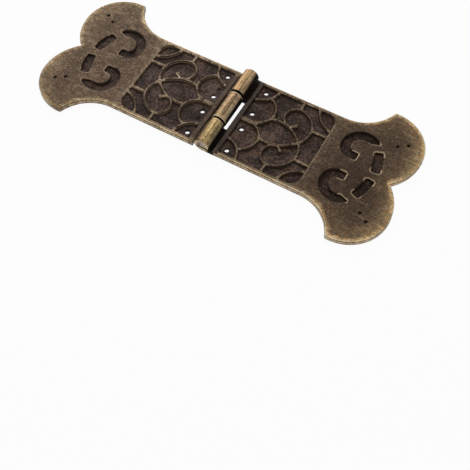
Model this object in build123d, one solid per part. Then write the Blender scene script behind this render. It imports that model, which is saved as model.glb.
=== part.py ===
from build123d import *
import os
from math import asin, atan2, cos, degrees, hypot, radians, sin, sqrt

# Decorative box hinge: two ornamental leaves with rolled knuckles, turning on one plain pin.
# The pin lies along Y, the leaves reach out along X, and the backs of both leaves lie in the plane Z = 0.
# All sizes are millimetres. The ornament is drawn on the upper half of the right leaf and mirrored.

# Barrel and pin
barrel_radius = 2.0
barrel_overhang = 0.15       # the barrel stands out past the waist by this much at each end
pin_radius = 1.0
pin_clearance = 0.05         # radial, in the turning knuckle
pin_recess = 0.15            # the pin's ends lie this far inside the barrel
middle_knuckle_half = 4.33
knuckle_gap = 0.5            # between neighbouring knuckles
knuckle_chamfer = 0.15
roll_end_angle = -20.0       # where the rolled sheet stops, seen along the pin

# Leaf blank: a straight waist, two concave necks and two round lobes
leaf_reach = 47.5            # from the pin's axis to the end of a lobe
leaf_thickness = 1.4
edge_gap = 0.6               # between the barrel and the straight edge of a leaf
waist_half_width = 12.35
neck_radius = 10.5
neck_length = 10.9           # from the end of the straight waist to the line through the lobe centres
lobe_radius = 10.4
lobe_center_y = 9.35
cleft_depth = 4.1            # how far the cleft between the lobes runs back from their ends
tip_round = 0.5
edge_bevel = 0.25            # broken upper edge of the blank

# Recessed field beside the barrel
field_depth = 0.7
hinge_rim = 1.4
side_rim = 0.9
head_margin = 1.55           # between the field and the start of the necks
field_corner_round = 3.0

# Ribs left standing in the field, with centres measured from the field's edge along the hinge
rib_width = 0.7
middle_rib_length = 4.4
ring_center = (2.35, 4.5)
ring_radius = 4.25
oval_center = (8.3, -5.65)
oval_radius = 9.15
scroll_center = (11.2, 3.55)
scroll_radius = 5.6
scroll_turn = 76.7           # direction in which the wide arc passes into the tight one
scroll_tight_radius = 2.92
scroll_end = 262.0           # direction in which the tight arc runs out along the oval
bud_root = (11.4, 2.95)
bud_center = (12.85, 4.25)
bud_radius = 0.5
rim_stem_x = 11.5
head_stem_y = 4.75

# Ribs that close the corners of the field, with centres measured outwards from each corner
corner_rib_offset = (0.7, 0.55)
corner_rib_radius = 5.3
leaf_rib_offset = (1.55, 1.75)
leaf_rib_radius = 6.68

# Sunk ornament on the head, measured from the line through the lobe centres
curl_depth = 0.7
curl_width = 2.2
curl_center = (-3.8, 5.85)
curl_radius = 3.8
curl_start = 60.0            # direction of the inner corner of the slanting end
curl_tip = 41.0              # direction in which the outer edge runs out to a point
curl_turn = 193.0            # direction in which the wide arc passes into the tight one
curl_tight_radius = 2.35
curl_tail = 1.6
bar_center = (1.4, 4.05)
bar_length = 6.0
bar_width = 2.25
bar_bend_radius = 25.5
bar_tilt = 15.0
punch_radius = 0.35
punch_depth = 0.45
punch_centers = ((3.6, 10.6), (5.8, 12.05))

# Nail holes, and the shallow dimples that only the left leaf has, measured from the field's edge
nail_x = 1.5
nail_inset = 1.55            # from the field's side to the outer nails
nail_inner_y = 2.68
nail_radius = 0.6
dimple_center = (1.3, 5.2)
dimple_radius = 0.4
dimple_depth = 0.15

# Places that follow from the sizes above
barrel_height = barrel_radius        # the barrel's underside is flush with the backs of the leaves
barrel_half_length = waist_half_width + barrel_overhang
notch_half = middle_knuckle_half + knuckle_gap
leaf_edge = barrel_radius + edge_gap
head_x = leaf_reach - lobe_radius
neck_start = head_x - neck_length
field_start = leaf_edge + hinge_rim
field_length = neck_start - head_margin - field_start
field_half_height = waist_half_width - side_rim
floor_height = leaf_thickness - field_depth


def on_circle(center, radius, angle):
    """Point of a circle in the given direction, in degrees."""
    return (center[0] + radius * cos(radians(angle)), center[1] + radius * sin(radians(angle)))


def direction(center, point):
    """Direction of a point seen from a centre, in degrees."""
    return degrees(atan2(point[1] - center[1], point[0] - center[0]))


def circles_meet(first, first_radius, second, second_radius):
    """The meeting point of two circles that lies on the left of the line from the first to the second."""
    run = (second[0] - first[0], second[1] - first[1])
    apart = hypot(*run)
    along = (apart**2 + first_radius**2 - second_radius**2) / (2 * apart)
    across = sqrt(first_radius**2 - along**2)
    unit = (run[0] / apart, run[1] / apart)
    return (first[0] + along * unit[0] - across * unit[1], first[1] + along * unit[1] + across * unit[0])


def arc_band(center, radius, start, stop, width):
    """Band of constant width along a circular arc."""
    outer = CenterArc(center, radius + width / 2, start, stop - start)
    inner = CenterArc(center, radius - width / 2, start, stop - start)
    return make_face([outer, Line(outer @ 1, inner @ 1), inner, Line(inner @ 0, outer @ 0)])


def ring_band(center, radius, width):
    """Band of constant width around a whole circle."""
    return Pos(*center) * (Circle(radius + width / 2) - Circle(radius - width / 2))


def straight_band(start, stop, width):
    """Band of constant width along a straight line."""
    run = (stop[0] - start[0], stop[1] - start[1])
    middle = ((start[0] + stop[0]) / 2, (start[1] + stop[1]) / 2)
    return Pos(*middle) * Rot(Z=direction(start, stop)) * Rectangle(hypot(*run), width)


def both_halves(half):
    """A drawing together with its mirror image across the leaf's long axis."""
    return half + mirror(half, about=Plane.XZ)


def blank_outline():
    """Outline of one leaf: waist, necks, and lobes that meet in a cleft."""
    neck_center = (neck_start, waist_half_width + neck_radius)
    lobe_center = (head_x, lobe_center_y)
    tip = circles_meet(neck_center, neck_radius, lobe_center, lobe_radius)
    cleft = (leaf_reach - cleft_depth, 0)
    cleft_radius = (cleft_depth**2 + lobe_center_y**2) / (2 * cleft_depth)
    cleft_center = (leaf_reach - cleft_radius, lobe_center_y)
    cleft_angle = direction(cleft_center, cleft)
    corner = (leaf_edge, waist_half_width)
    half = make_face([
        Line((leaf_edge, 0), corner),
        Line(corner, (neck_start, waist_half_width)),
        CenterArc(neck_center, neck_radius, -90, 90 + direction(neck_center, tip)),
        CenterArc(lobe_center, lobe_radius, 0, direction(lobe_center, tip)),
        CenterArc(cleft_center, cleft_radius, cleft_angle, -cleft_angle),
        Line(cleft, (leaf_edge, 0)),
    ])
    outline = both_halves(half)
    tips = [v for v in outline.vertices() if hypot(v.X - tip[0], abs(v.Y) - tip[1]) < tip_round / 10]
    return fillet(tips, tip_round)


def oval_rib():
    """Arc of the pointed oval, from its tip on the long axis back to the ring."""
    ring_end = circles_meet(ring_center, ring_radius, oval_center, oval_radius)
    tip_angle = degrees(asin(-oval_center[1] / oval_radius))
    tip = on_circle(oval_center, oval_radius, tip_angle)
    arc = arc_band(oval_center, oval_radius, tip_angle, direction(oval_center, ring_end), rib_width)
    return arc + Pos(*tip) * Circle(rib_width / 2)


def scroll_rib():
    """Scroll that leaves the oval's tip, turns over and curls back onto the oval, with a bud inside it."""
    start_angle = degrees(asin(-scroll_center[1] / scroll_radius))
    tight_center = on_circle(scroll_center, scroll_radius - scroll_tight_radius, scroll_turn)
    rim_stem_from = tight_center[1] + sqrt(scroll_tight_radius**2 - (rim_stem_x - tight_center[0])**2)
    head_stem_from = scroll_center[0] + sqrt(scroll_radius**2 - (head_stem_y - scroll_center[1])**2)
    scroll = arc_band(scroll_center, scroll_radius, start_angle, scroll_turn, rib_width)
    scroll += arc_band(tight_center, scroll_tight_radius, scroll_turn, scroll_end, rib_width)
    scroll += straight_band(bud_root, bud_center, rib_width)
    scroll += Pos(*bud_center) * Circle(bud_radius)
    rim_stem_to = field_half_height + rib_width
    scroll += straight_band((rim_stem_x, rim_stem_from), (rim_stem_x, rim_stem_to), rib_width)
    head_stem_to = field_length + rib_width
    scroll += straight_band((head_stem_from, head_stem_y), (head_stem_to, head_stem_y), rib_width)
    return scroll


def ribs():
    """All scrollwork that stays at full height, drawn from the field's edge along the hinge."""
    corner_rib_center = (-corner_rib_offset[0], field_half_height + corner_rib_offset[1])
    leaf_rib_center = (field_length + leaf_rib_offset[0], field_half_height + leaf_rib_offset[1])
    ring_end = circles_meet(corner_rib_center, corner_rib_radius, ring_center, ring_radius)
    half = arc_band(ring_center, ring_radius, -90, direction(ring_center, ring_end), rib_width)
    half += ring_band(corner_rib_center, corner_rib_radius, rib_width)
    half += ring_band(leaf_rib_center, leaf_rib_radius, rib_width)
    half += oval_rib()
    half += scroll_rib()
    middle_rib_width = 2 * (ring_center[1] - ring_radius) + rib_width
    middle_rib = straight_band((-hinge_rim / 2, 0), (middle_rib_length, 0), middle_rib_width)
    return both_halves(half) + middle_rib


def cells():
    """Sunk cells of the field, between the ribs."""
    field = Pos(field_length / 2, 0) * Rectangle(field_length, 2 * field_half_height)
    head_corners = field.vertices().group_by(Axis.X)[-1]
    field = fillet(head_corners, field_corner_round)
    return Pos(field_start, 0) * (field - ribs())


def curl_point():
    """Slanting end of a curl, where its outer edge runs out to a point."""
    outer = CenterArc(curl_center, curl_radius + curl_width / 2, curl_tip, curl_start - curl_tip)
    inner_corner = on_circle(curl_center, curl_radius - curl_width / 2, curl_start)
    return make_face([outer, Line(outer @ 1, inner_corner), Line(inner_corner, outer @ 0)])


def head_ornament():
    """Sunk curls and bars on the head of the leaf."""
    tight_center = on_circle(curl_center, curl_radius - curl_tight_radius, curl_turn)
    tail_start = on_circle(tight_center, curl_tight_radius, 270)
    tail_end = (tail_start[0] + curl_tail, tail_start[1])
    curl = arc_band(curl_center, curl_radius, curl_start, curl_turn, curl_width)
    curl += curl_point()
    curl += arc_band(tight_center, curl_tight_radius, curl_turn, 270, curl_width)
    curl += straight_band(tail_start, tail_end, curl_width)
    bend_center = on_circle(bar_center, -bar_bend_radius, bar_tilt)
    half_sweep = degrees(bar_length / 2 / bar_bend_radius)
    bar = arc_band(bend_center, bar_bend_radius, bar_tilt - half_sweep, bar_tilt + half_sweep, bar_width)
    return Pos(head_x, 0) * both_halves(curl + bar)


def leaf_plate():
    """One flat leaf with its raised ornament, nail holes and punch marks, but without knuckles."""
    plate = extrude(blank_outline(), amount=leaf_thickness)
    upper_edges = plate.edges().group_by(Axis.Z)[-1]
    plate = chamfer(upper_edges, edge_bevel)
    top = Pos(0, 0, leaf_thickness)
    plate -= extrude(top * cells(), amount=-field_depth)
    plate -= extrude(top * head_ornament(), amount=-curl_depth)
    for side in (1, -1):
        for nail_y in (field_half_height - nail_inset, nail_inner_y):
            hole = Cylinder(nail_radius, 2 * leaf_thickness)
            plate -= Pos(field_start + nail_x, side * nail_y, leaf_thickness / 2) * hole
        for x, y in punch_centers:
            mark = Cylinder(punch_radius, punch_depth)
            plate -= Pos(head_x + x, side * y, leaf_thickness - punch_depth / 2) * mark
    return plate


def knuckle(bore_radius, y_from, y_to):
    """Rolled knuckle: the strap passes under the pin, turns over it and stops short of its own leaf."""
    wall = barrel_radius - bore_radius
    profile = arc_band((0, barrel_height), barrel_radius - wall / 2, roll_end_angle, 270, wall)
    strap_length = leaf_edge + hinge_rim / 2
    profile += Pos(strap_length / 2, wall / 2) * Rectangle(strap_length, wall)
    section = Plane.XZ.offset(-y_from) * profile
    roll = extrude(section, amount=y_from - y_to)
    rims = [e for e in roll.edges().filter_by(GeomType.CIRCLE) if abs(e.radius - barrel_radius) < wall / 10]
    return chamfer(rims, knuckle_chamfer)


def right_leaf():
    """Leaf with the two outer knuckles, which grip the pin."""
    leaf = leaf_plate()
    leaf += knuckle(pin_radius, notch_half, barrel_half_length)
    leaf += knuckle(pin_radius, -barrel_half_length, -notch_half)
    return leaf


def left_leaf():
    """Leaf with the middle knuckle, which turns on the pin, and a shallow dimple in each round cell."""
    leaf = leaf_plate()
    leaf += knuckle(pin_radius + pin_clearance, -middle_knuckle_half, middle_knuckle_half)
    for side in (1, -1):
        dimple = Cylinder(dimple_radius, dimple_depth)
        place = Pos(field_start + dimple_center[0], side * dimple_center[1], floor_height - dimple_depth / 2)
        leaf -= place * dimple
    return mirror(leaf, about=Plane.YZ)


def hinge_pin():
    """Plain pin, set back a little from the ends of the barrel."""
    pin = Cylinder(pin_radius, 2 * (barrel_half_length - pin_recess))
    return Pos(0, 0, barrel_height) * Rot(X=90) * pin


os.makedirs("parts", exist_ok=True)
for name, solid in (("right_leaf", right_leaf()), ("left_leaf", left_leaf()), ("hinge_pin", hinge_pin())):
    export_step(solid, f"parts/{name}.step")
    box = solid.bounding_box()
    print(name, "volume", round(solid.volume, 2), "size", box.size)
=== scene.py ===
# %% [markdown]
# # An ornamental box hinge in antique bronze
# The hinge has three pieces: two stamped leaves, whose inner ends roll into knuckles, and the pin that
# they turn on. The measured model is loaded first, because every visible piece is placed in its frame.
# Its box is kept, and the table is laid just under it.

# %% Load the measured hinge
import math

import bmesh
import bpy
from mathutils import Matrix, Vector, kdtree


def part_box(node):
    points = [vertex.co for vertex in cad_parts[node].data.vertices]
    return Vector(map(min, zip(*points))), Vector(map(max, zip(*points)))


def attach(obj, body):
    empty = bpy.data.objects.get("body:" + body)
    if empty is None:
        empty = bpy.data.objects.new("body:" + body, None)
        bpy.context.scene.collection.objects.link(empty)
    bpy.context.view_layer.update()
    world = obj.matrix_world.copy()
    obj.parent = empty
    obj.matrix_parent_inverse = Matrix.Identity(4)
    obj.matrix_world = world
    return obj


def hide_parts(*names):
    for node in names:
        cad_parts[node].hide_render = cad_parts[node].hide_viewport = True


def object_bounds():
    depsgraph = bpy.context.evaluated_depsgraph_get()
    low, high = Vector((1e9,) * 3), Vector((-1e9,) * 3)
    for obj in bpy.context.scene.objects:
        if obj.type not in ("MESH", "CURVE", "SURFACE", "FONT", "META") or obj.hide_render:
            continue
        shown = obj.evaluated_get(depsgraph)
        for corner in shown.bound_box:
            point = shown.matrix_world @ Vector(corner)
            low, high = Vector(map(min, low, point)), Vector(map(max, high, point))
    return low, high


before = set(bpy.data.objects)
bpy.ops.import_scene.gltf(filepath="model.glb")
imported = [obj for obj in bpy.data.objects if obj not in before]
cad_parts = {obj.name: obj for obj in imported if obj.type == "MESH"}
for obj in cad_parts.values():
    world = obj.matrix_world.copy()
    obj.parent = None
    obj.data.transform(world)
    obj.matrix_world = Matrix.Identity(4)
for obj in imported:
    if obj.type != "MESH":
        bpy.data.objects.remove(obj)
cad_low, cad_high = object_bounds()
MM = 0.001
print("hinge box in mm:", [round(side / MM, 2) for side in cad_high - cad_low])

# %% [markdown]
# ## The camera
# The picture looks down on the open hinge from the front right, so the leaves run up to the left. A
# camera can be placed by hand, but naming the angle round the hinge, the height above it and the
# distance keeps those three apart, and each one can be corrected by itself.

# %% Place the camera
PICTURE_PIXELS = 470
FOCAL_PIXELS = 824.2
SENSOR_WIDTH = 36.0
NEAREST_SEEN = 1.0 * MM
VIEW_AZIMUTH = math.radians(29.47)
VIEW_ELEVATION = math.radians(60.34)
VIEW_DISTANCE = 185.91 * MM
VIEW_TARGET = Vector((18.46, -28.86, 0.0)) * MM


def add_object(name, data):
    """A new object in the scene, at the origin."""
    made = bpy.data.objects.new(name, data)
    bpy.context.scene.collection.objects.link(made)
    return made


camera_data = bpy.data.cameras.new("picture_camera")
camera_data.sensor_width = SENSOR_WIDTH
camera_data.lens = SENSOR_WIDTH * FOCAL_PIXELS / PICTURE_PIXELS
camera_data.clip_start = NEAREST_SEEN
camera = add_object("picture_camera", camera_data)
away = Vector((
    math.sin(VIEW_AZIMUTH) * math.cos(VIEW_ELEVATION),
    -math.cos(VIEW_AZIMUTH) * math.cos(VIEW_ELEVATION),
    math.sin(VIEW_ELEVATION),
))
camera.location = VIEW_TARGET + away * VIEW_DISTANCE
camera.rotation_euler = away.to_track_quat("Z", "Y").to_euler()
bpy.context.scene.camera = camera
bpy.context.scene.view_settings.view_transform = "Standard"
print("lens in mm:", round(camera_data.lens, 2))

# %% [markdown]
# ## Softening the stamped edges
# A stamped and tumbled leaf has no knife edges: its ribs are rounded, the rims of the sunk cells and
# the corners of the curls and bars are soft, and metal has flowed into the foot of each wall. The
# measured leaf is sharp, so a copy of it is merged into one skin, its triangles are joined into flat
# faces again, and each family of edges is bevelled by its own width. A Bevel modifier could only give
# all of them one width.

# %% Copy a measured leaf as one skin
MERGE_DISTANCE = 0.001 * MM
FLAT_ANGLE = math.radians(0.5)


def joined_copy(node_name):
    """A copy of a measured piece as one closed skin of flat faces."""
    skin = bmesh.new()
    skin.from_mesh(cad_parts[node_name].data)
    bmesh.ops.remove_doubles(skin, verts=skin.verts[:], dist=MERGE_DISTANCE)
    bmesh.ops.dissolve_limit(skin, angle_limit=FLAT_ANGLE, verts=skin.verts[:], edges=skin.edges[:])
    return skin


# %% Sort the edges into families
FACE_HEIGHT = 1.4 * MM
FLOOR_HEIGHT = 0.7 * MM
PUNCH_HEIGHT = 0.95 * MM
FLOOR_TOP = 1.0 * MM
HEAD_FROM = (26.0 * MM, 27.0 * MM)
TINY = 0.01 * MM
CORNER_ANGLE = math.radians(40)
# How far a normal points up: 1 on a level face, 0 on an upright one.
EDGE_LEVEL = 0.99
EDGE_STEEP = 0.9
CHAMFER_TILT = 0.3


def lowest(face):
    """Height of the lowest corner of a face."""
    return min(vertex.co.z for vertex in face.verts)


def highest(face):
    """Height of the highest corner of a face."""
    return max(vertex.co.z for vertex in face.verts)


def is_corner(edge, heights):
    """An upright edge where two walls of a curl or a bar on the head meet at a clear angle."""
    from_floor = abs(min(heights) - FLOOR_HEIGHT) < TINY and abs(max(heights) - FACE_HEIGHT) < TINY
    on_head = abs(edge.verts[0].co.x) > HEAD_FROM[0]
    return from_floor and on_head and edge.calc_face_angle() > CORNER_ANGLE


def edge_family(edge):
    """Which kind of stamped edge this is, from the two faces that meet at it."""
    steep, flat = sorted(face.normal.z for face in edge.link_faces)
    heights = [vertex.co.z for vertex in edge.verts]
    if is_corner(edge, heights):
        return "corner"
    if flat < EDGE_LEVEL or steep > EDGE_STEEP:
        return None
    if min(heights) > FACE_HEIGHT - TINY and max(heights) < FACE_HEIGHT + TINY:
        if steep > CHAMFER_TILT:
            return "outline"
        to_floor = min(lowest(face) for face in edge.link_faces) < PUNCH_HEIGHT - TINY
        return "rib" if to_floor else "punch"
    if max(heights) < FLOOR_TOP and min(heights) > FLOOR_TOP / 2 and edge.calc_face_angle_signed() < 0:
        return "foot"
    return None


# %% Bevel each family
# Width and number of segments, in the order in which the families are bevelled.
SOFTENING = {
    "corner": (0.32 * MM, 1),
    "outline": (0.1 * MM, 2),
    "rib": (0.27 * MM, 4),
    "punch": (0.14 * MM, 2),
    "foot": (0.08 * MM, 2),
}


def softened_leaf(node_name):
    """The leaf with all its stamped edges softened."""
    skin = joined_copy(node_name)
    for family, (width, segments) in SOFTENING.items():
        edges = [edge for edge in skin.edges if edge_family(edge) == family]
        bmesh.ops.bevel(
            skin, geom=edges, offset=width, offset_type="OFFSET", segments=segments, profile=0.5,
            affect="EDGES", material=-1, loop_slide=False)
        print(node_name, family, "edges bevelled:", len(edges))
    return skin


# %% [markdown]
# ## A fine grid for the wear and the painted light
# Wear, dirt and painted light follow the shape: edges are rubbed bright and carry a painted highlight,
# and the foot of each wall is painted black as shade. That is stored as one number per vertex, so the
# leaf needs vertices everywhere, not only on its outlines.
# Cutting it with evenly spaced planes gives them without moving the surface.

# %% Cut the grid
GRID_STEP = 0.4 * MM
CUT_TOLERANCE = 0.0001 * MM
ALONG_X = (1, 0, 0)
ALONG_Y = (0, 1, 0)


def cut_grid(skin, low, high):
    """Cuts the skin into small squares in plan."""
    for axis, direction in enumerate((ALONG_X, ALONG_Y)):
        for step in range(1, int((high[axis] - low[axis]) / GRID_STEP)):
            cut = Vector((0, 0, 0))
            cut[axis] = low[axis] + step * GRID_STEP
            everything = skin.verts[:] + skin.edges[:] + skin.faces[:]
            bmesh.ops.bisect_plane(
                skin, geom=everything, dist=CUT_TOLERANCE, plane_co=cut, plane_no=direction)
    print("  faces after the grid:", len(skin.faces))


# %% [markdown]
# ## Scored lines beside the knuckles
# Two fine lines are scored along the strip of the right leaf, next to the knuckles. A texture could
# draw them, but a real groove keeps its shadow from every side. The strip is cut along each line and
# along both banks of it, and the vertices on the line are pushed down.

# %% Score the strip
SCORE_LINES = (3.05 * MM, 3.4 * MM)
SCORE_HALF_WIDTH = 0.1 * MM
SCORE_DEPTH = 0.08 * MM
SCORE_END = 11.6 * MM
LEVEL = 0.97


def cut_strip(skin, cut):
    """Cuts only the flat strip, along the knuckles."""
    first = SCORE_LINES[0] - 2 * SCORE_HALF_WIDTH
    last = SCORE_LINES[-1] + 2 * SCORE_HALF_WIDTH
    strip = [
        face for face in skin.faces
        if face.normal.z > LEVEL and first < face.calc_center_median().x < last]
    edges = {edge for face in strip for edge in face.edges}
    corners = {vertex for face in strip for vertex in face.verts}
    bmesh.ops.bisect_plane(
        skin, geom=strip + list(edges) + list(corners), dist=CUT_TOLERANCE,
        plane_co=(cut, 0, 0), plane_no=ALONG_X)


def score_strip(skin):
    """Scores two fine lines along the strip beside the knuckles of the right leaf."""
    for middle in SCORE_LINES:
        for cut in (middle - SCORE_HALF_WIDTH, middle, middle + SCORE_HALF_WIDTH):
            cut_strip(skin, cut)
        for vertex in skin.verts:
            on_line = abs(vertex.co.x - middle) < TINY / 2 and vertex.co.z > FACE_HEIGHT - TINY
            if on_line and abs(vertex.co.y) < SCORE_END:
                vertex.co.z -= SCORE_DEPTH
    print("  scored lines at mm:", [round(middle / MM, 2) for middle in SCORE_LINES])


# %% [markdown]
# ## Which finish goes where
# The leaves were dipped to blacken them, then rubbed back. So the high flats and the back are brown,
# the sunk floors and walls keep the dark dip and are painted darker still as shade, every raised edge
# shows the bare bronze with a painted highlight, and the knuckles, handled most, are brightest on top,
# where a highlight is painted too. Faces could be picked by hand, but rules last when a size changes:
# each face is given to one finish by its height, its tilt and its distance from the pin.

# %% Sort the faces
PIN_HEIGHT = 2.0 * MM
KNUCKLE_REACH = 2.03 * MM
KNUCKLE_END = 12.0 * MM
MIDDLE_KNUCKLE = 4.6 * MM
UPRIGHT = 0.2
FACING_DOWN = -0.5
# How far a normal points along the pin.
END_FACE = 0.9
END_RIM = 0.3


def knuckle_finish(face, middle):
    """The finish of one face of a knuckle: its ends, its rims or its barrel."""
    along = abs(face.normal.y)
    if abs(middle.y) > KNUCKLE_END:
        return "cut_side" if along > END_FACE else "knuckle_bronze"
    # The outer knuckles' rims that face the middle one, and the knuckle ends in the gaps, get the dark
    # wall finish as painted shade, which widens the dark gaps between the knuckles.
    shaded_rim = along > END_RIM and abs(middle.y) > MIDDLE_KNUCKLE
    return "dark_wall" if shaded_rim or along > END_FACE else "knuckle_bronze"


def face_finish(face):
    """The finish of one face of a leaf."""
    middle = face.calc_center_median()
    if math.hypot(middle.x, middle.z - PIN_HEIGHT) < KNUCKLE_REACH:
        return knuckle_finish(face, middle)
    if lowest(face) < TINY:
        if face.normal.z < FACING_DOWN:
            return "plain_back"
        return "dark_wall" if highest(face) < FLOOR_TOP else "cut_side"
    if face.normal.z < UPRIGHT:
        return "dark_wall"
    if middle.z < FLOOR_TOP:
        return "sunk_floor"
    return "raised_face" if face.normal.z > LEVEL else "rubbed_and_highlit_edge"


# %% [markdown]
# ## Measuring the wear and the painted light
# Closeness values are stored on each vertex: two to the outer edge of the leaf, near and far, and one
# each to the nearest rib or rim edge, the foot of the nearest wall and the edge of the nearest dimple
# or nail hole. Each is 1 at the edge itself and fades to 0 over its own reach. A texture can't know how
# far an edge is, so the distance is measured here, and a search tree finds the nearest point quickly.

# %% Find the marked edges
CLOSENESS_REACH = {
    "outer_edge": 2.0 * MM,
    "outer_zone": 8.0 * MM,
    "rim_edge": 0.6 * MM,
    "wall_foot": 1.0 * MM,
    "dimple_edge": 0.3 * MM,
}


def is_wall(face):
    """A wall rises from a sunk floor. The sides of dimples and punch marks don't count."""
    return face.normal.z < UPRIGHT and FLOOR_HEIGHT - TINY < lowest(face) < PUNCH_HEIGHT


def edge_kinds(vertex):
    """The kinds of edge that a vertex lies on."""
    finishes = {face_finish(face) for face in vertex.link_faces}
    by_wall = any(is_wall(face) for face in vertex.link_faces)
    if {"rubbed_and_highlit_edge", "cut_side"} <= finishes and vertex.co.z < FACE_HEIGHT - TINY:
        return ("outer_edge", "outer_zone")
    if "rubbed_and_highlit_edge" in finishes and by_wall:
        return ("rim_edge",)
    if "sunk_floor" in finishes and by_wall:
        return ("wall_foot",)
    if finishes == {"sunk_floor", "dark_wall"} and vertex.co.z < FLOOR_HEIGHT + TINY:
        return ("dimple_edge",)
    return ()


# %% Store the closeness values
def store_closeness(skin):
    """Writes one closeness value of each kind on every vertex."""
    found = {kind: [] for kind in CLOSENESS_REACH}
    for vertex in skin.verts:
        for kind in edge_kinds(vertex):
            found[kind].append(vertex.co.copy())
    for kind, spots in found.items():
        tree = kdtree.KDTree(len(spots))
        for index, spot in enumerate(spots):
            tree.insert(spot, index)
        tree.balance()
        layer = skin.verts.layers.float.new(kind)
        for vertex in skin.verts:
            distance = tree.find(vertex.co)[2] if spots else CLOSENESS_REACH[kind]
            vertex[layer] = max(0.0, 1.0 - distance / CLOSENESS_REACH[kind])
        print(" ", kind, "points:", len(spots))


# %% [markdown]
# ## Building materials from nodes
# A finish is a small network of nodes, which could be drawn by hand in the shader editor. Written as
# code, it needs a few helpers that add and link nodes. A span is a pair of numbers. A colour is red,
# green and blue from 0 to 1, and a tint, which multiplies a colour, may go above 1.

# %% Add and link nodes
WHOLE = (0.0, 1.0)


def put(tree, kind, inputs=None, **choices):
    """Adds one node, sets its choices, and sets or links its inputs."""
    made = tree.nodes.new("ShaderNode" + kind)
    for choice, value in choices.items():
        setattr(made, choice, value)
    for name, value in (inputs or {}).items():
        socket = made.inputs[name]
        if isinstance(value, bpy.types.NodeSocket):
            tree.links.new(value, socket)
        else:
            socket.default_value = (*value, 1) if socket.type == "RGBA" else value
    return made


def connect(tree, ends, sockets):
    """Links sockets to the named inputs of a shader or of a group's last node."""
    for name, socket in sockets.items():
        tree.links.new(socket, ends[name])


def calculate(tree, operation, first, second=0.0):
    """One step of arithmetic."""
    return put(tree, "Math", {0: first, 1: second}, operation=operation).outputs[0]


def times(tree, first, second):
    """One product."""
    return calculate(tree, "MULTIPLY", first, second)


def stretch(tree, value, span, result=WHOLE):
    """Spreads a value smoothly from one span to another, and keeps it inside."""
    made = put(
        tree, "MapRange",
        {"Value": value, "From Min": span[0], "From Max": span[1],
         "To Min": result[0], "To Max": result[1]},
        interpolation_type="SMOOTHSTEP")
    return made.outputs["Result"]


# %% Colours, places and patterns
def blend(tree, share, first, second, how="MIX"):
    """A colour mix, with sockets picked by their place because their names repeat."""
    made = put(tree, "Mix", {0: share, 6: first, 7: second}, data_type="RGBA", blend_type=how)
    return made.outputs[2]


def tinted(tree, colour, tint):
    """A colour multiplied by another."""
    return blend(tree, 1.0, colour, tint, "MULTIPLY")


def grey(tree, level):
    """A grey of a level that varies."""
    return put(tree, "CombineColor", {0: level, 1: level, 2: level}).outputs[0]


def position(tree):
    """Where a point lies on the hinge."""
    return put(tree, "TexCoord").outputs["Object"]


def parts_of(tree, place):
    """The X, Y and Z of a place."""
    return put(tree, "SeparateXYZ", {0: place}).outputs


def noise(tree, place, scale, detail, roughness=0.5, distortion=0.0):
    """A cloudy value."""
    made = put(tree, "TexNoise", {
        "Vector": place, "Scale": scale, "Detail": detail, "Roughness": roughness,
        "Distortion": distortion})
    return made.outputs[0]


def streaked(tree, place, scales, detail, turn=(0.0, 0.0, 0.0)):
    """A noise drawn out into streaks, by a scale for each axis."""
    drawn = put(tree, "Mapping", {"Vector": place, "Rotation": turn, "Scale": scales})
    return noise(tree, drawn.outputs[0], 1.0, detail)


def stored(tree, kind):
    """A closeness value as the material reads it."""
    return put(tree, "Attribute", attribute_name=kind).outputs["Fac"]


DENT_STRENGTH = 0.5


def dented(tree, height, depth):
    """A normal that shows fine dents."""
    made = put(tree, "Bump", {"Strength": DENT_STRENGTH, "Distance": depth, "Height": height})
    return made.outputs["Normal"]


# %% Open a group or a material
def open_group(name, inputs, outputs):
    """A new node group, what comes into it and what goes out of it."""
    group = bpy.data.node_groups.new(name, "ShaderNodeTree")
    for label, kind in inputs.items():
        group.interface.new_socket(label, in_out="INPUT", socket_type="NodeSocket" + kind)
    for label, kind in outputs.items():
        group.interface.new_socket(label, in_out="OUTPUT", socket_type="NodeSocket" + kind)
    entry = group.nodes.new("NodeGroupInput")
    leave = group.nodes.new("NodeGroupOutput")
    return group, entry.outputs, leave.inputs


def open_material(name, metallic, roughness=0.5, specular=0.5):
    """A new material, its tree and the inputs of its shader."""
    material = bpy.data.materials.new(name)
    material.use_nodes = True
    shader = material.node_tree.nodes["Principled BSDF"].inputs
    shader["Metallic"].default_value = metallic
    shader["Roughness"].default_value = roughness
    shader["Specular IOR Level"].default_value = specular
    return material, material.node_tree, shader


# %% [markdown]
# ## The mottled dip
# Chemical blackening never takes evenly. Seen close, the bronze has soft clouds some millimetres wide,
# smaller flecks in them, and a fine speckle of bright and dark grains. All finishes of the hinge share
# that pattern, so it is one group: it takes a dark, a middle and a light colour and mixes them by
# noises of different size. It also gives a slow drift, with which a finish can place its stains.

# %% The patina group
CLOUD_SCALE = 130.0
FLECK_SCALE = 650.0
GRAIN_SCALE = 2300.0
BRUSH_SCALE = (420.0, 2600.0, 600.0)
DRIFT_SCALE = 240.0
HUE_SCALE = 800.0
FLECK_SHARE = 0.35
GRAIN_SHARE = 0.7
BRUSH_SHARE = 0.2
TONE_SPAN = (0.41, 0.59)
DARK_HALF = (0.0, 0.5)
LIGHT_HALF = (0.5, 1.0)
DRIFT_SHIFT = (0.31, 0.17, 0.0)
DRIFT_SPAN = (0.4, 0.62)
HUE_SPAN = (0.36, 0.64)
WARM_TINT = (1.07, 0.98, 0.9)
COOL_TINT = (0.94, 1.01, 1.08)


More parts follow.
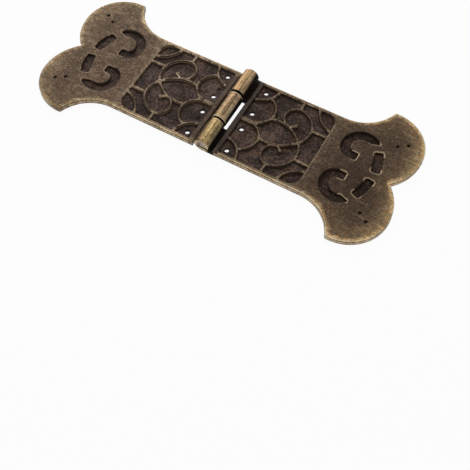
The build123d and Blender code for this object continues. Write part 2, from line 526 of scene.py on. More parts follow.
def make_patina():
    """The group that mottles three colours."""
    tree, given, result = open_group(
        "patina",
        {"Dark": "Color", "Middle": "Color", "Light": "Color", "Clouds": "Float"},
        {"Colour": "Color", "Tone": "Float", "Grain": "Float", "Drift": "Float"})
    place = position(tree)
    flecks = noise(tree, place, FLECK_SCALE, detail=6.0, roughness=0.65, distortion=0.3)
    grains = noise(tree, place, GRAIN_SCALE, detail=5.0, roughness=0.65)
    brush = streaked(tree, place, BRUSH_SCALE, detail=2.0)
    total = times(tree, noise(tree, place, CLOUD_SCALE, detail=3.0), given["Clouds"])
    for pattern, share in ((flecks, FLECK_SHARE), (grains, GRAIN_SHARE), (brush, BRUSH_SHARE)):
        total = calculate(tree, "ADD", total, times(tree, pattern, share))
    shares = calculate(tree, "ADD", given["Clouds"], FLECK_SHARE + GRAIN_SHARE + BRUSH_SHARE)
    tone = stretch(tree, calculate(tree, "DIVIDE", total, shares), TONE_SPAN)
    colour = blend(tree, stretch(tree, tone, DARK_HALF), given["Dark"], given["Middle"])
    colour = blend(tree, stretch(tree, tone, LIGHT_HALF), colour, given["Light"])
    shifted = put(tree, "Mapping", {"Vector": place, "Location": DRIFT_SHIFT}).outputs[0]
    hue = stretch(tree, noise(tree, shifted, HUE_SCALE, detail=3.0), HUE_SPAN)
    connect(tree, result, {
        "Colour": tinted(tree, colour, blend(tree, hue, WARM_TINT, COOL_TINT)),
        "Tone": tone,
        "Grain": calculate(tree, "ADD", grains, flecks),
        "Drift": stretch(tree, noise(tree, shifted, DRIFT_SCALE, detail=4.0), DRIFT_SPAN)})
    return tree


patina = make_patina()
print("group:", patina.name)


def dipped(tree, dark, middle, light, clouds):
    """The mottled dip in its own three colours."""
    colours = {"Dark": dark, "Middle": middle, "Light": light, "Clouds": clouds}
    return put(tree, "Group", colours, node_tree=patina).outputs


# %% [markdown]
# ## Rubbed bands
# Rubbing back with a cloth bares the metal along edges, in a ragged band and not in an even line. A
# sharp limit on the closeness would look like paint, so this group breaks the limit up with noise. The
# same ragged band also places the painted shade at the foot of each wall and the painted highlight on
# the rims.

# %% The rub group
RAGGED_SCALE = 900.0
NOISE_MIDDLE = 0.5
RUB_SPAN = (-0.15, 0.25)


def make_rub():
    """The group that turns a closeness into a ragged band."""
    tree, given, result = open_group("rub", {"Closeness": "Float", "Spread": "Float"}, {"Mask": "Float"})
    ragged = noise(tree, position(tree), RAGGED_SCALE, detail=4.0, roughness=0.7)
    broken = calculate(tree, "ADD", given["Closeness"], calculate(tree, "SUBTRACT", ragged, NOISE_MIDDLE))
    start = calculate(tree, "SUBTRACT", 1.0, given["Spread"])
    connect(tree, result, {"Mask": stretch(tree, calculate(tree, "SUBTRACT", broken, start), RUB_SPAN)})
    return tree


rub = make_rub()
print("group:", rub.name)


def rubbed(tree, kind, spread):
    """The ragged band along one kind of edge."""
    band = put(tree, "Group", {"Closeness": stored(tree, kind), "Spread": spread}, node_tree=rub)
    return band.outputs["Mask"]


# %% [markdown]
# ## Dirt and painted shade beside the knuckles
# The strip between the knuckles and the sunk field can't be reached with a cloth, so it keeps the dip,
# and it is painted darker as well for the shade of the barrel. On the right leaf it is nearly black and
# streaked, with painted highlights on the banks of two scored lines. On the left leaf it is brown,
# painted lighter and warmer towards the knuckles to make up for the shade there, and it ends at the
# rubbed rims of the long sides. A black line of painted shade runs along the knuckles on both leaves.
# Faces, walls and edges all meet in the strip, so one group gives them the same dirt and painted shade.

# %% Where the dirt and painted shade lie
DIRT_AND_SHADE_RIGHT = (4.0 * MM, 4.5 * MM)
DIRT_AND_SHADE_LEFT = (4.1 * MM, 4.6 * MM)
DIRT_AND_SHADE_SHARE = 0.95
STRIP_ENDS = (10.4 * MM, 11.6 * MM)
LEFT_BEYOND_ENDS = 0.25


def strip_mask(tree, right, left, along):
    """Where the dirt and painted shade lie: right and left count from the pin to each side, and along
    runs with it.
    """
    dirt = (DIRT_AND_SHADE_SHARE, 0.0)
    on_right = times(
        tree, stretch(tree, right, DIRT_AND_SHADE_RIGHT, dirt), calculate(tree, "GREATER_THAN", right, 0.0))
    on_left = times(
        tree, stretch(tree, left, DIRT_AND_SHADE_LEFT, dirt), calculate(tree, "GREATER_THAN", left, 0.0))
    ends = stretch(tree, calculate(tree, "ABSOLUTE", along), STRIP_ENDS, (1.0, LEFT_BEYOND_ENDS))
    return calculate(tree, "MAXIMUM", on_right, times(tree, on_left, ends))


# %% The colour of the dirt and painted shade
BLACK_RIGHT = (2.6 * MM, 2.9 * MM)
BLACK_LEFT = (2.0 * MM, 2.3 * MM)
LEFT_LIGHTENED_NEAR_KNUCKLES = (2.6 * MM, 3.1 * MM)
FIELD_SIDE = (3.5 * MM, 3.9 * MM)
BANK_WIDTH = (0.03 * MM, 0.07 * MM)
BANK_HIGHLIGHT_SHARE = 0.64
STRIP_STREAKS = (3200.0, 130.0, 600.0)
STREAK_SPAN = (0.34, 0.66)
STREAK_LEVELS = (0.3, 1.9)
LEFT_STREAKS = 0.35


def strip_colour(tree, place, right, left):
    """The colour of the dirt and painted shade on either leaf, with painted highlights on the banks of
    the scored lines.
    """
    is_right = calculate(tree, "GREATER_THAN", right, 0.0)
    on_right = blend(
        tree, stretch(tree, right, FIELD_SIDE), (0.0148, 0.0098, 0.0077), (0.027, 0.0185, 0.014))
    # Painted light: the left strip is painted lighter and warmer towards the knuckles, to make up for the
    # shade there.
    on_left = blend(
        tree, stretch(tree, left, LEFT_LIGHTENED_NEAR_KNUCKLES), (0.08, 0.051, 0.031), (0.05, 0.034, 0.0243))
    colour = blend(tree, is_right, on_left, on_right)
    # Painted shade: black in the crease where each leaf meets the knuckles.
    black = times(
        tree, stretch(tree, right, BLACK_RIGHT, (1.0, 0.0)), stretch(tree, left, BLACK_LEFT, (1.0, 0.0)))
    colour = blend(tree, black, colour, (0.005, 0.004, 0.0035))
    # Painted highlights along the banks of the scored lines.
    for middle in SCORE_LINES:
        from_bank = calculate(tree, "SUBTRACT", right, middle + SCORE_HALF_WIDTH)
        bank = stretch(tree, calculate(tree, "ABSOLUTE", from_bank), BANK_WIDTH, (BANK_HIGHLIGHT_SHARE, 0.0))
        colour = blend(tree, bank, colour, (0.16, 0.12, 0.098))
    streaks = stretch(tree, streaked(tree, place, STRIP_STREAKS, detail=3.0), STREAK_SPAN, STREAK_LEVELS)
    share = calculate(tree, "MAXIMUM", is_right, LEFT_STREAKS)
    return blend(tree, share, colour, grey(tree, streaks), "MULTIPLY")


# %% The dirt and painted shade group
def make_knuckle_dirt():
    """The group that gives the dirt and painted shade of both strips."""
    tree, _, result = open_group("knuckle_dirt_and_shade", {}, {"Mask": "Float", "Colour": "Color"})
    place = position(tree)
    parts = parts_of(tree, place)
    left = times(tree, parts["X"], -1.0)
    connect(tree, result, {
        "Mask": strip_mask(tree, parts["X"], left, parts["Y"]),
        "Colour": strip_colour(tree, place, parts["X"], left)})
    return tree


knuckle_dirt_and_shade = make_knuckle_dirt()
print("group:", knuckle_dirt_and_shade.name)


def dirtied_and_shaded(tree, colour):
    """A colour under the dirt and painted shade beside the knuckles."""
    dirt = put(tree, "Group", node_tree=knuckle_dirt_and_shade).outputs
    return blend(tree, dirt["Mask"], colour, dirt["Colour"])


# %% [markdown]
# ## Differences between the leaves
# The two leaves differ: the left one's ribs are lighter, and the right one's head has the darker floors
# and the brighter rims. The heads differ from the fields in the same way. Part of this is rubbing and
# part is painted light: the leaves lie at slightly different tilts to the light, so the left leaf is
# painted lighter than the right one. Each leaf could have materials of its own, but one group that picks
# a colour by leaf and by place keeps them together.

# %% The place group
PLACES = ("Left field", "Right field", "Left head", "Right head")


def make_by_place():
    """The group that picks one of four colours."""
    tree, given, result = open_group("by_place", {name: "Color" for name in PLACES}, {"Colour": "Color"})
    across = parts_of(tree, position(tree))["X"]
    is_right = calculate(tree, "GREATER_THAN", across, 0.0)
    on_head = stretch(tree, calculate(tree, "ABSOLUTE", across), HEAD_FROM)
    field = blend(tree, is_right, given["Left field"], given["Right field"])
    head = blend(tree, is_right, given["Left head"], given["Right head"])
    connect(tree, result, {"Colour": blend(tree, on_head, field, head)})
    return tree


by_place = make_by_place()
print("group:", by_place.name)


def pick(tree, left_field, right_field, left_head, right_head):
    """A colour by leaf and by place."""
    colours = dict(zip(PLACES, (left_field, right_field, left_head, right_head)))
    return put(tree, "Group", colours, node_tree=by_place).outputs["Colour"]


# %% [markdown]
# ## Raised faces
# The high flats are brown and mottled. They are rubbed lighter along the lobes of the heads, golden at
# the outline, and stained between the curls of the right head. Painting them by hand would be quick,
# but it could not follow a change of shape, so each layer reads the stored closeness or the place on
# the hinge.

# %% The dipped brown of the flats
NO_TINT = (1.0, 1.0, 1.0)
LEFT_FACE = (-26.0 * MM, -20.0 * MM)
RIGHT_FACE = (20.0 * MM, 26.0 * MM)
STAIN_CENTRE = Vector((36.0, -3.0, 1.4)) * MM
STAIN_REACH = (2.0 * MM, 11.0 * MM)
PURPLE_SHARE = 0.2
LEFT_SHARE = 0.5
SMOOTH_SHARE = 0.45
STAIN_SHARE = 0.55


def plain_face(tree, place, across, dip):
    """The dipped brown: painted lighter and plainer on the left head, smooth on the right one, with its
    stain.
    """
    purple = times(tree, dip["Drift"], PURPLE_SHARE)
    colour = blend(tree, purple, dip["Colour"], (0.066, 0.044, 0.034))
    # Painted light: the left head is painted lighter than the right one, for how the light falls on it.
    on_left = stretch(tree, across, LEFT_FACE, (LEFT_SHARE, 0.0))
    colour = blend(tree, on_left, colour, (0.085, 0.0565, 0.035))
    smooth = blend(tree, dip["Drift"], (0.066, 0.042, 0.026), (0.043, 0.0262, 0.0162))
    colour = blend(tree, stretch(tree, across, RIGHT_FACE, (0.0, SMOOTH_SHARE)), colour, smooth)
    from_stain = put(tree, "VectorMath", {0: place, 1: STAIN_CENTRE}, operation="DISTANCE")
    stain = stretch(tree, from_stain.outputs["Value"], STAIN_REACH, (STAIN_SHARE, 0.0))
    return blend(tree, stain, colour, (0.03, 0.0165, 0.01))


# %% How light the flats are rubbed
LOBE_RISE = (30.0 * MM, 46.5 * MM)
LOBE_LEVELS = (0.12, 1.0)
CLEFT_REACH = (1.0 * MM, 9.0 * MM)
CLEFT_LEVELS = (0.45, 1.0)
ZONE_SPAN = (0.2, 0.85)
ZONE_UNEVEN = 0.15


def light_zone(tree, parts, drift):
    """How light the flats are rubbed: most along the lobes of the heads, less in the cleft."""
    uneven = times(tree, calculate(tree, "SUBTRACT", drift, NOISE_MIDDLE), ZONE_UNEVEN)
    zone = stretch(tree, calculate(tree, "ADD", stored(tree, "outer_zone"), uneven), ZONE_SPAN)
    outwards = calculate(tree, "ABSOLUTE", parts["X"])
    sideways = calculate(tree, "ABSOLUTE", parts["Y"])
    zone = times(tree, zone, stretch(tree, outwards, LOBE_RISE, LOBE_LEVELS))
    return times(tree, zone, stretch(tree, sideways, CLEFT_REACH, CLEFT_LEVELS))


# %% The golden outline and the scratches
RIM_RISE = (29.0 * MM, 41.0 * MM)
RIM_LEVELS = (0.5, 1.0)
LEFT_RIM = 0.9
OUTLINE_SPREAD = 0.48


def golden_band(tree, across):
    """The golden band along the outline, weaker on the right field than on its head."""
    on_left = times(tree, calculate(tree, "LESS_THAN", across, 0.0), LEFT_RIM)
    level = calculate(tree, "MAXIMUM", stretch(tree, across, RIM_RISE, RIM_LEVELS), on_left)
    return times(tree, rubbed(tree, "outer_edge", OUTLINE_SPREAD), level)


SCRATCH_TURN = (0.0, 0.0, math.radians(32))
SCRATCH_SCALE = (170.0, 2300.0, 300.0)
SCRATCH_SPAN = (0.62, 0.74)
SCRATCH_SHARE = 0.32


def fine_scratches(tree, place, across):
    """Slanted scratches on the right head."""
    slanted = streaked(tree, place, SCRATCH_SCALE, detail=1.0, turn=SCRATCH_TURN)
    scratch = stretch(tree, slanted, SCRATCH_SPAN, (0.0, SCRATCH_SHARE))
    return times(tree, scratch, stretch(tree, across, LOBE_RISE))


# %% Raised faces
TIP_RISE = (43.8 * MM, 47.5 * MM)
TIP_SHARE = 0.7
RIM_SPREADS = (0.95, 0.72)
FLAT_DENT = 0.03 * MM
FACE_ROUGHNESS = (0.6, 0.42)


def raised_face():
    """Brown mottled flats, rubbed golden towards the outer edge, with dirt and painted shade beside the
    knuckles.
    """
    material, tree, shader = open_material("raised_face", metallic=0.45, specular=0.1)
    place = position(tree)
    parts = parts_of(tree, place)
    across = parts["X"]
    dip = dipped(
        tree, dark=(0.024, 0.0142, 0.0088), middle=(0.053, 0.0322, 0.0198), light=(0.145, 0.094, 0.056),
        clouds=0.2)
    worn = dipped(
        tree, dark=(0.115, 0.076, 0.041), middle=(0.155, 0.105, 0.059), light=(0.215, 0.15, 0.086),
        clouds=0.15)
    gold = dipped(
        tree, dark=(0.2, 0.138, 0.07), middle=(0.31, 0.22, 0.114), light=(0.46, 0.338, 0.19),
        clouds=0.5)["Colour"]
    lobe_tint = pick(tree, NO_TINT, NO_TINT, left_head=(0.84, 0.85, 0.88), right_head=(1.0, 0.97, 0.92))
    band_tint = pick(tree, NO_TINT, NO_TINT, left_head=(0.88, 0.89, 0.92), right_head=(1.26, 1.22, 1.14))
    rim_colour = pick(
        tree, left_field=(0.17, 0.122, 0.08), right_field=(0.114, 0.081, 0.052),
        left_head=(0.19, 0.138, 0.09), right_head=(0.26, 0.19, 0.122))
    rim_spread = stretch(tree, calculate(tree, "ABSOLUTE", across), HEAD_FROM, RIM_SPREADS)
    colour = plain_face(tree, place, across, dip)
    colour = blend(
        tree, light_zone(tree, parts, dip["Drift"]), colour, tinted(tree, worn["Colour"], lobe_tint))
    colour = blend(tree, stretch(tree, across, TIP_RISE, (0.0, TIP_SHARE)), colour, gold)
    colour = blend(tree, fine_scratches(tree, place, across), colour, (0.34, 0.255, 0.17))
    colour = blend(tree, golden_band(tree, across), colour, tinted(tree, gold, band_tint))
    # A light line along the rims of the cells, curls and bars: partly rubbed metal, partly a painted
    # highlight on the rounding.
    colour = blend(tree, rubbed(tree, "rim_edge", rim_spread), colour, rim_colour)
    connect(tree, shader, {
        "Base Color": dirtied_and_shaded(tree, colour),
        "Roughness": stretch(tree, dip["Tone"], WHOLE, FACE_ROUGHNESS),
        "Normal": dented(tree, dip["Grain"], FLAT_DENT)})
    return material


# %% [markdown]
# ## Sunk floors
# The cells and curls lie too deep for the cloth. Their floors keep a dark, slightly purple dip, with
# rusty flecks where damp stood, a black line of painted shade at the foot of each wall and a dark ring
# round each hole.
# Ambient occlusion could darken the corners, but the exported model would lose it, so the stored
# closeness does that.

# %% Sunk floors
FOOT_SPREAD = 0.24
FOOT_SHARE = 0.45
RUST_SPAN = (0.75, 1.3)
RUST_SHARE = 0.45
SPECK_SPAN = (1.15, 1.3)
SPECK_SHARE = 0.6
RING_SPAN = (0.2, 0.7)
RING_SHARE = 0.85
FINE_DENT = 0.02 * MM


def sunk_floor():
    """Dark purplish floors, darker at the foot of each wall, with a few rusty flecks."""
    material, tree, shader = open_material("sunk_floor", metallic=0.3, roughness=0.55, specular=0.05)
    dip = dipped(
        tree, dark=(0.018, 0.0115, 0.0094), middle=(0.0405, 0.0266, 0.0218), light=(0.1, 0.068, 0.0545),
        clouds=0.35)
    damp = calculate(tree, "ADD", stored(tree, "wall_foot"), dip["Tone"])
    rust = stretch(tree, times(tree, dip["Drift"], damp), RUST_SPAN, (0.0, RUST_SHARE))
    colour = blend(tree, rust, dip["Colour"], (0.1, 0.057, 0.032))
    # Painted shade: a black line at the foot of each wall, where ambient occlusion would darken the
    # floor.
    foot = times(tree, rubbed(tree, "wall_foot", FOOT_SPREAD), FOOT_SHARE)
    colour = blend(tree, foot, colour, (0.008, 0.0055, 0.0045))
    depth_tint = pick(
        tree, left_field=NO_TINT, right_field=(0.97, 0.95, 0.92),
        left_head=(0.8, 0.77, 0.75), right_head=(0.72, 0.68, 0.64))
    colour = tinted(tree, colour, depth_tint)
    speck_colour = pick(
        tree, left_field=(0.085, 0.057, 0.045), right_field=(0.17, 0.1, 0.055),
        left_head=(0.07, 0.045, 0.034), right_head=(0.1, 0.06, 0.036))
    specks = stretch(tree, dip["Grain"], SPECK_SPAN, (0.0, SPECK_SHARE))
    colour = blend(tree, specks, colour, speck_colour)
    ring = stretch(tree, stored(tree, "dimple_edge"), RING_SPAN, (0.0, RING_SHARE))
    colour = blend(tree, ring, colour, (0.012, 0.008, 0.007))
    connect(tree, shader, {"Base Color": colour, "Normal": dented(tree, dip["Grain"], FINE_DENT)})
    return material


# %% [markdown]
# ## Dark walls
# The walls of the cells, the nail holes and the gaps between the knuckles hold the dip best, and their
# near-black is also painted shade, as they lie in shadow. Only the upper part of a wall is rubbed and
# painted lighter, as painted light on the shaded wall, further down on the left leaf, where it makes the
# ribs look broad. One material with a limit by height is enough, because all walls end at the same face.

# %% Dark walls
WALL_RUB_AND_LIGHT = (FACE_HEIGHT - 0.6 * MM, FACE_HEIGHT - 0.28 * MM)
LEFT_RUB_AND_LIGHT_DROP = 0.16 * MM
WALL_BROWN = (0.1, 0.068, 0.044)


def dark_wall():
    """Walls of the sunk cells, of the nail holes and between the knuckles."""
    material, tree, shader = open_material("dark_wall", metallic=0.3, roughness=0.6, specular=0.05)
    dip = dipped(
        tree, dark=(0.009, 0.006, 0.0045), middle=(0.043, 0.0285, 0.0185), light=(0.07, 0.043, 0.025),
        clouds=0.5)
    parts = parts_of(tree, position(tree))
    # Painted light: the upper part of each wall is lighter, as rubbed metal and as light the shaded wall
    # doesn't get, most on the left field.
    drop = times(tree, calculate(tree, "LESS_THAN", parts["X"], 0.0), LEFT_RUB_AND_LIGHT_DROP)
    bare = stretch(tree, calculate(tree, "ADD", parts["Z"], drop), WALL_RUB_AND_LIGHT)
    upper_wall_colour = pick(tree, (0.27, 0.192, 0.127), WALL_BROWN, WALL_BROWN, WALL_BROWN)
    depth_tint = pick(
        tree, left_field=NO_TINT, right_field=(0.9, 0.88, 0.85),
        left_head=(0.6, 0.57, 0.55), right_head=(0.45, 0.42, 0.4))
    colour = tinted(tree, blend(tree, bare, dip["Colour"], upper_wall_colour), depth_tint)
    connect(tree, shader, {"Base Color": dirtied_and_shaded(tree, colour)})
    return material


# %% [markdown]
# ## Rubbed edges with painted highlights
# The rounded edges of ribs, rims and outline are the barest metal, so they are the most mirror-like,
# and their light colour is partly that bare metal and partly a painted highlight on the rounding. Round
# the outline the painted highlight is only a line at the top of its slope, and the slope is darker below
# it. Punch marks are too small for the cloth and keep a dark edge. A pointiness value could find all
# these edges, but it depends on the mesh, so the finish reads the closeness that was measured.

# %% Rubbed edges
ON_RIM = (0.1, 0.4)
ON_OUTLINE = (0.6, 0.85)
HIGHLIGHT_LINE = (FACE_HEIGHT - 0.22 * MM, FACE_HEIGHT - 0.15 * MM)
RIGHT_SHADE_TINT = (0.72, 0.71, 0.68)
EDGE_DENT = 0.015 * MM


def outline_colour(tree, height):
    """The gold line at the top of the slope round the leaf, bare gold with a painted highlight, and the
    darker colour below it.
    """
    gold = dipped(
        tree, dark=(0.28, 0.2, 0.112), middle=(0.64, 0.5, 0.32), light=(0.88, 0.74, 0.53), clouds=0.5)
    gold_tint = pick(
        tree, left_field=(1.1, 1.1, 1.08), right_field=(0.85, 0.85, 0.83),
        left_head=(0.8, 0.79, 0.77), right_head=(0.93, 0.92, 0.88))
    below = pick(
        tree, left_field=(0.1, 0.066, 0.034), right_field=(0.03, 0.02, 0.011),
        left_head=(0.045, 0.03, 0.016), right_head=(0.09, 0.06, 0.03))
    # A painted highlight: the gold line at the top of the outline's slope.
    return blend(tree, stretch(tree, height, HIGHLIGHT_LINE), below, tinted(tree, gold["Colour"], gold_tint))


def rubbed_and_highlit_edge():
    """Bare bronze with a painted highlight on the ridge of ribs and rims, and a painted highlight line
    round the outline.
    """
    material, tree, shader = open_material("rubbed_and_highlit_edge", metallic=0.7, roughness=0.36, specular=0.2)
    bare = dipped(
        tree, dark=(0.075, 0.05, 0.032), middle=(0.195, 0.14, 0.091), light=(0.58, 0.445, 0.305),
        clouds=0.3)
    # Painted shade: the right field's ribs are darker than the left one's, for how the light falls on the
    # leaves.
    rim_colour = pick(
        tree, left_field=bare["Colour"], right_field=tinted(tree, bare["Colour"], RIGHT_SHADE_TINT),
        left_head=(0.22, 0.16, 0.104), right_head=(0.34, 0.25, 0.162))
    on_rim = stretch(tree, stored(tree, "rim_edge"), ON_RIM)
    colour = blend(tree, on_rim, (0.03, 0.02, 0.014), rim_colour)
    on_outline = stretch(tree, stored(tree, "outer_edge"), ON_OUTLINE)
    height = parts_of(tree, position(tree))["Z"]
    colour = blend(tree, on_outline, colour, outline_colour(tree, height))
    connect(tree, shader, {
        "Base Color": dirtied_and_shaded(tree, colour), "Normal": dented(tree, bare["Grain"], EDGE_DENT)})
    return material


# %% [markdown]
# ## Knuckles
# Hands and the box rub the barrel on top, so it is bright there, and a painted highlight adds to that;
# it is black where it meets the leaves, from patina and painted shade, with streaks along the pin from
# the rolling. Its tone depends on the angle round the pin: a colour ramp over that angle is short to
# write and easy to correct. The painted highlight winds a little along the barrel, so that it moves from
# knuckle to knuckle. Each knuckle has a slightly different hue, and the middle one has light rims and
# one dull scratch.

# %% Tones round the barrel
# Degrees from the top, towards the right leaf, and the colour there: worn bronze with a painted
# highlight near the top, and patina with painted shade on the flanks, darkest against the leaves.
KNUCKLE_TONES = (
    (-180, (0.14, 0.095, 0.055)),
    (-135, (0.12, 0.08, 0.047)),
    (-104, (0.008, 0.005, 0.003)),
    (-70, (0.02, 0.012, 0.006)),
    (-48, (0.13, 0.084, 0.046)),
    (-12, (0.47, 0.325, 0.175)),
    (16, (0.3, 0.205, 0.105)),
    (46, (0.37, 0.272, 0.165)),
    (62, (0.06, 0.042, 0.026)),
    (74, (0.006, 0.004, 0.003)),
    (104, (0.008, 0.005, 0.003)),
    (135, (0.12, 0.08, 0.047)),
    (180, (0.14, 0.095, 0.055)),
)
# Places along the pin, and the hue there.
KNUCKLE_HUES = (
    (-6.0 * MM, (1.0, 1.03, 0.93)),
    (0.0, (0.96, 0.94, 1.02)),
    (6.0 * MM, (1.0, 0.95, 0.93)),
)
HIGHLIGHT_TWIST = math.radians(1.4) / MM
FULL_TURN = 360


def barrel_tone(tree, angle, along):
    """The tone at an angle, with its painted highlight and shade, on lines that wind slightly along the
    barrel.
    """
    wound = calculate(tree, "ADD", angle, times(tree, along, HIGHLIGHT_TWIST))
    turn = put(tree, "MapRange", {"Value": wound, "From Min": -math.pi, "From Max": math.pi})
    ramp = put(tree, "ValToRGB", {0: turn.outputs[0]})
    stops = ramp.color_ramp.elements
    while len(stops) < len(KNUCKLE_TONES):
        stops.new(0.5)
    for stop, (degrees, tone) in zip(stops, KNUCKLE_TONES):
        stop.position = degrees / FULL_TURN + 0.5
        stop.color = (*tone, 1)
    return ramp.outputs[0]


def barrel_hue(tree, along):
    """Each knuckle's own hue."""
    hue = KNUCKLE_HUES[0][1]
    for (start, _), (end, next_hue) in zip(KNUCKLE_HUES, KNUCKLE_HUES[1:]):
        hue = blend(tree, stretch(tree, along, (start, end)), hue, next_hue)
    return hue


# %% Marks on the middle knuckle
DULL_SCRATCH_ANGLE = math.radians(18)
DULL_SCRATCH_WIDTH = (math.radians(1.5), math.radians(4.5))
DULL_SCRATCH_SHARE = 0.85
DULL_SCRATCH_END = (3.6 * MM, 3.9 * MM)
BROKEN_LEVELS = (0.4, 1.0)
LIGHT_RIM_START = (3.85 * MM, 4.1 * MM)
LIGHT_RIM_END = (4.5 * MM, MIDDLE_KNUCKLE)
LIGHT_RIM_SHARE = 0.8
BARREL_TOP = (PIN_HEIGHT, 1.5 * PIN_HEIGHT)


def dull_scratch(tree, angle, from_middle, drift):
    """One broken scratch along the middle knuckle."""
    aside = calculate(tree, "ABSOLUTE", calculate(tree, "SUBTRACT", angle, DULL_SCRATCH_ANGLE))
    mark = stretch(tree, aside, DULL_SCRATCH_WIDTH, (DULL_SCRATCH_SHARE, 0.0))
    mark = times(tree, mark, stretch(tree, from_middle, DULL_SCRATCH_END, (1.0, 0.0)))
    return times(tree, mark, stretch(tree, drift, DARK_HALF, BROKEN_LEVELS))


def light_rims(tree, from_middle, height):
    """The light rims at the ends of the middle knuckle, on top only."""
    rim = times(
        tree, stretch(tree, from_middle, LIGHT_RIM_START),
        stretch(tree, from_middle, LIGHT_RIM_END, (LIGHT_RIM_SHARE, 0.0)))
    return times(tree, rim, stretch(tree, height, BARREL_TOP))


# %% Knuckles
KNUCKLE_STREAKS = (1600.0, 100.0, 1600.0)
KNUCKLE_GRAIN = 0.3
KNUCKLE_SPAN = (0.38, 0.92)
KNUCKLE_LEVELS = (0.37, 1.6)


def knuckle_bronze():
    """Worn and highlit on top, patina and painted shade on the flanks, streaked along the pin, each
    knuckle with its own hue.
    """
    material, tree, shader = open_material("knuckle_bronze", metallic=0.5, roughness=0.6, specular=0.03)
    place = position(tree)
    parts = parts_of(tree, place)
    angle = calculate(tree, "ARCTAN2", parts["X"], calculate(tree, "SUBTRACT", parts["Z"], PIN_HEIGHT))
    from_middle = calculate(tree, "ABSOLUTE", parts["Y"])
    grain = put(tree, "Group", {"Clouds": 0.3}, node_tree=patina).outputs
    streaks = streaked(tree, place, KNUCKLE_STREAKS, detail=3.0)
    rough_streaks = calculate(tree, "ADD", streaks, times(tree, grain["Tone"], KNUCKLE_GRAIN))
    levels = stretch(tree, rough_streaks, KNUCKLE_SPAN, KNUCKLE_LEVELS)
    colour = tinted(tree, barrel_tone(tree, angle, parts["Y"]), grey(tree, levels))
    colour = tinted(tree, colour, barrel_hue(tree, parts["Y"]))
    scratch = dull_scratch(tree, angle, from_middle, grain["Drift"])
    colour = blend(tree, scratch, colour, (0.06, 0.036, 0.018))
    colour = blend(tree, light_rims(tree, from_middle, parts["Z"]), colour, (0.5, 0.385, 0.265))
    connect(tree, shader, {"Base Color": colour, "Normal": dented(tree, streaks, FINE_DENT)})
    return material


# %% [markdown]
# ## Cut sides
# The leaf was sheared from sheet, so its sides are bare and light, darker along the bottom and in a
# line under the sloped edge. The ends of the barrel are sawn and stay light. Bands by height need
# no extra mesh.

# %% Cut sides
SIDE_DARK_BELOW = (0.1 * MM, 0.3 * MM)
SIDE_DARK_ABOVE = (0.96 * MM, 1.07 * MM)
BARREL_END_FROM = (1.4 * MM, 1.5 * MM)


def cut_side():
    """The sheared sides, in bands of height, and the ends of the barrel."""
    material, tree, shader = open_material("cut_side", metallic=0.5, specular=0.2)
    bare = dipped(
        tree, dark=(0.18, 0.127, 0.072), middle=(0.47, 0.345, 0.208), light=(0.72, 0.565, 0.375),
        clouds=0.4)
    height = parts_of(tree, position(tree))["Z"]
    low = stretch(tree, height, SIDE_DARK_BELOW, (1.0, 0.0))
    on_leaf = stretch(tree, height, BARREL_END_FROM, (1.0, 0.0))
    high = times(tree, stretch(tree, height, SIDE_DARK_ABOVE), on_leaf)
    dark_band_colour = pick(
        tree, left_field=(0.07, 0.05, 0.033), right_field=(0.026, 0.018, 0.012),
        left_head=(0.06, 0.043, 0.028), right_head=(0.08, 0.056, 0.036))
    colour = blend(tree, calculate(tree, "MAXIMUM", low, high), bare["Colour"], dark_band_colour)
    connect(tree, shader, {"Base Color": colour, "Normal": dented(tree, bare["Grain"], FINE_DENT)})
    return material


# %% [markdown]
# ## The back
# The back is flat and plain, because only the face is stamped. It was dipped with the rest and rubbed a
# little along its border, where it lies on the box. Larger clouds keep the big flat from looking even.

# %% Plain back
BACK_SPREAD = 0.75
BACK_STAIN = 0.45
BACK_ROUGHNESS = (0.62, 0.42)


def plain_back():
    """The flat back: brown from the dip, cloudy, and rubbed along its border."""
    material, tree, shader = open_material("plain_back", metallic=0.45, specular=0.1)
    dip = dipped(
        tree, dark=(0.04, 0.0255, 0.015), middle=(0.098, 0.064, 0.038), light=(0.21, 0.145, 0.088),
        clouds=0.7)
    colour = blend(tree, times(tree, dip["Drift"], BACK_STAIN), dip["Colour"], (0.045, 0.029, 0.02))
    colour = blend(tree, rubbed(tree, "outer_edge", BACK_SPREAD), colour, (0.22, 0.155, 0.092))
    connect(tree, shader, {
        "Base Color": colour,
        "Roughness": stretch(tree, dip["Tone"], WHOLE, BACK_ROUGHNESS),
        "Normal": dented(tree, dip["Grain"], FLAT_DENT)})
    return material


# %% [markdown]
# ## The two leaves
# Everything is ready to make the visible leaves: soften, cut the grid, store the closeness, and give
# each face its finish. Both leaves come from one function, because they differ only in their
# knuckles, two dimples and the scored lines. A leaf then stands for the measured one and rides on the
# same moving body.

# %% Make the leaves
SHARP_ANGLE = math.radians(40)

makers = (raised_face, sunk_floor, dark_wall, rubbed_and_highlit_edge, knuckle_bronze, cut_side, plain_back)
leaf_materials = [make() for make in makers]
finish_index = {material.name: index for index, material in enumerate(leaf_materials)}
print("finishes:", list(finish_index))


def visible_leaf(name, node_name, body, scored):
    """One finished leaf."""
    skin = softened_leaf(node_name)
    cut_grid(skin, *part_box(node_name))
    if scored:
        score_strip(skin)
    skin.normal_update()
    store_closeness(skin)
    for face in skin.faces:
        face.material_index = finish_index[face_finish(face)]
        face.smooth = True
    mesh = bpy.data.meshes.new(name)
    skin.to_mesh(mesh)
    skin.free()
    for material in leaf_materials:
        mesh.materials.append(material)
    mesh.set_sharp_from_angle(angle=SHARP_ANGLE)
    leaf = add_object(name, mesh)
    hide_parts(node_name)
    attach(leaf, body)
    print(name, "faces:", len(mesh.polygons))


visible_leaf("stamped_right_leaf", "right_leaf", "right_side", scored=True)
visible_leaf("stamped_left_leaf", "left_leaf", "left_side", scored=False)

# %% [markdown]
# ## The pin
# Only the two ends of the pin show, set a little way into the outer knuckles. The measured pin already
# has the right shape, so it only gets a finish: grey wire that was dipped with the rest.

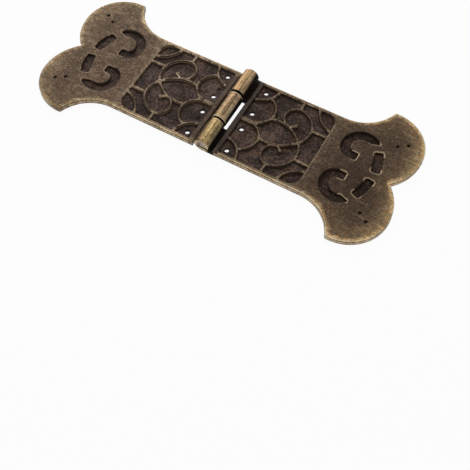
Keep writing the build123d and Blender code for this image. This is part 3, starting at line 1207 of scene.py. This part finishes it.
# %% Finish the pin
pin_material, pin_tree, pin_shader = open_material("pin_wire", metallic=0.7, roughness=0.45)
wire = dipped(
    pin_tree, dark=(0.12, 0.095, 0.07), middle=(0.27, 0.225, 0.175), light=(0.5, 0.43, 0.34), clouds=0.3)
connect(pin_tree, pin_shader, {
    "Base Color": wire["Colour"], "Normal": dented(pin_tree, wire["Grain"], FINE_DENT)})
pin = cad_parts["hinge_pin"]
pin.data.materials.clear()
pin.data.materials.append(pin_material)
print("pin finish:", pin_material.name)

# %% [markdown]
# ## The table
# The hinge lies on a white table, so bright that its shadow almost goes. More light would also wash out
# the bronze. So rays from the camera and mirror-like rays see the table as white, mixed with its lit
# surface, of which a trace of the shadow stays.

# %% White table
TABLE_SIZE = 3.0
TABLE_DROP = 0.05 * MM
TABLE_GLOW = 0.95
WHITE = (1.0, 1.0, 1.0, 1.0)
TABLE_WHITE = (0.85, 0.85, 0.85, 1.0)


def seen_directly(tree):
    """1 for rays from the camera, from mirrors and through glass."""
    path = put(tree, "LightPath").outputs
    mirrored = calculate(tree, "MAXIMUM", path["Is Camera Ray"], path["Is Glossy Ray"])
    return calculate(tree, "MAXIMUM", mirrored, path["Is Transmission Ray"])


table_material, table_tree, table_shader = open_material(
    "white_table", metallic=0.0, roughness=0.9, specular=0.0)
table_shader["Base Color"].default_value = TABLE_WHITE
glow = put(table_tree, "Emission", {"Strength": 1.0})
glow.inputs["Color"].default_value = WHITE
glow_share = times(table_tree, seen_directly(table_tree), TABLE_GLOW)
surface = table_tree.nodes["Principled BSDF"].outputs[0]
mixed = put(table_tree, "MixShader", {0: glow_share, 1: surface, 2: glow.outputs[0]})
connect(table_tree, table_tree.nodes["Material Output"].inputs, {"Surface": mixed.outputs[0]})

table_height = cad_low.z - TABLE_DROP
table_skin = bmesh.new()
bmesh.ops.create_grid(table_skin, x_segments=1, y_segments=1, size=TABLE_SIZE / 2)
bmesh.ops.translate(table_skin, verts=table_skin.verts[:], vec=(0, 0, table_height))
table_mesh = bpy.data.meshes.new("white_table")
table_skin.to_mesh(table_mesh)
table_skin.free()
table_mesh.materials.append(table_material)
table = add_object("white_table", table_mesh)
print("table under the hinge at mm:", round(table_height / MM, 3))

# %% [markdown]
# ## The light
# A light tent gives broad light from everywhere, which shows the colours of the bronze plainly. Alone
# it would leave the relief flat, so one large lamp from the back left adds a soft direction.

# %% Light tent and key light
TENT_LEVEL = 0.45
KEY_FROM = Vector((-0.5, 0.65, 0.58)).normalized()
KEY_DISTANCE = 0.4
KEY_SIZE = 0.3
KEY_POWER = 0.95

world = bpy.data.worlds.new("light_tent")
world.use_nodes = True
tent = world.node_tree
background = tent.nodes["Background"].inputs
background["Color"].default_value = WHITE
tent_level = put(tent, "MapRange", {"Value": seen_directly(tent), "To Min": TENT_LEVEL, "To Max": 1.0})
connect(tent, background, {"Strength": tent_level.outputs["Result"]})
bpy.context.scene.world = world

key_data = bpy.data.lights.new("key_light", "AREA")
key_data.shape = "SQUARE"
key_data.size = KEY_SIZE
key_data.energy = KEY_POWER
key = add_object("key_light", key_data)
key.location = KEY_FROM * KEY_DISTANCE
key.rotation_euler = KEY_FROM.to_track_quat("Z", "Y").to_euler()
print("key light power in W:", KEY_POWER)
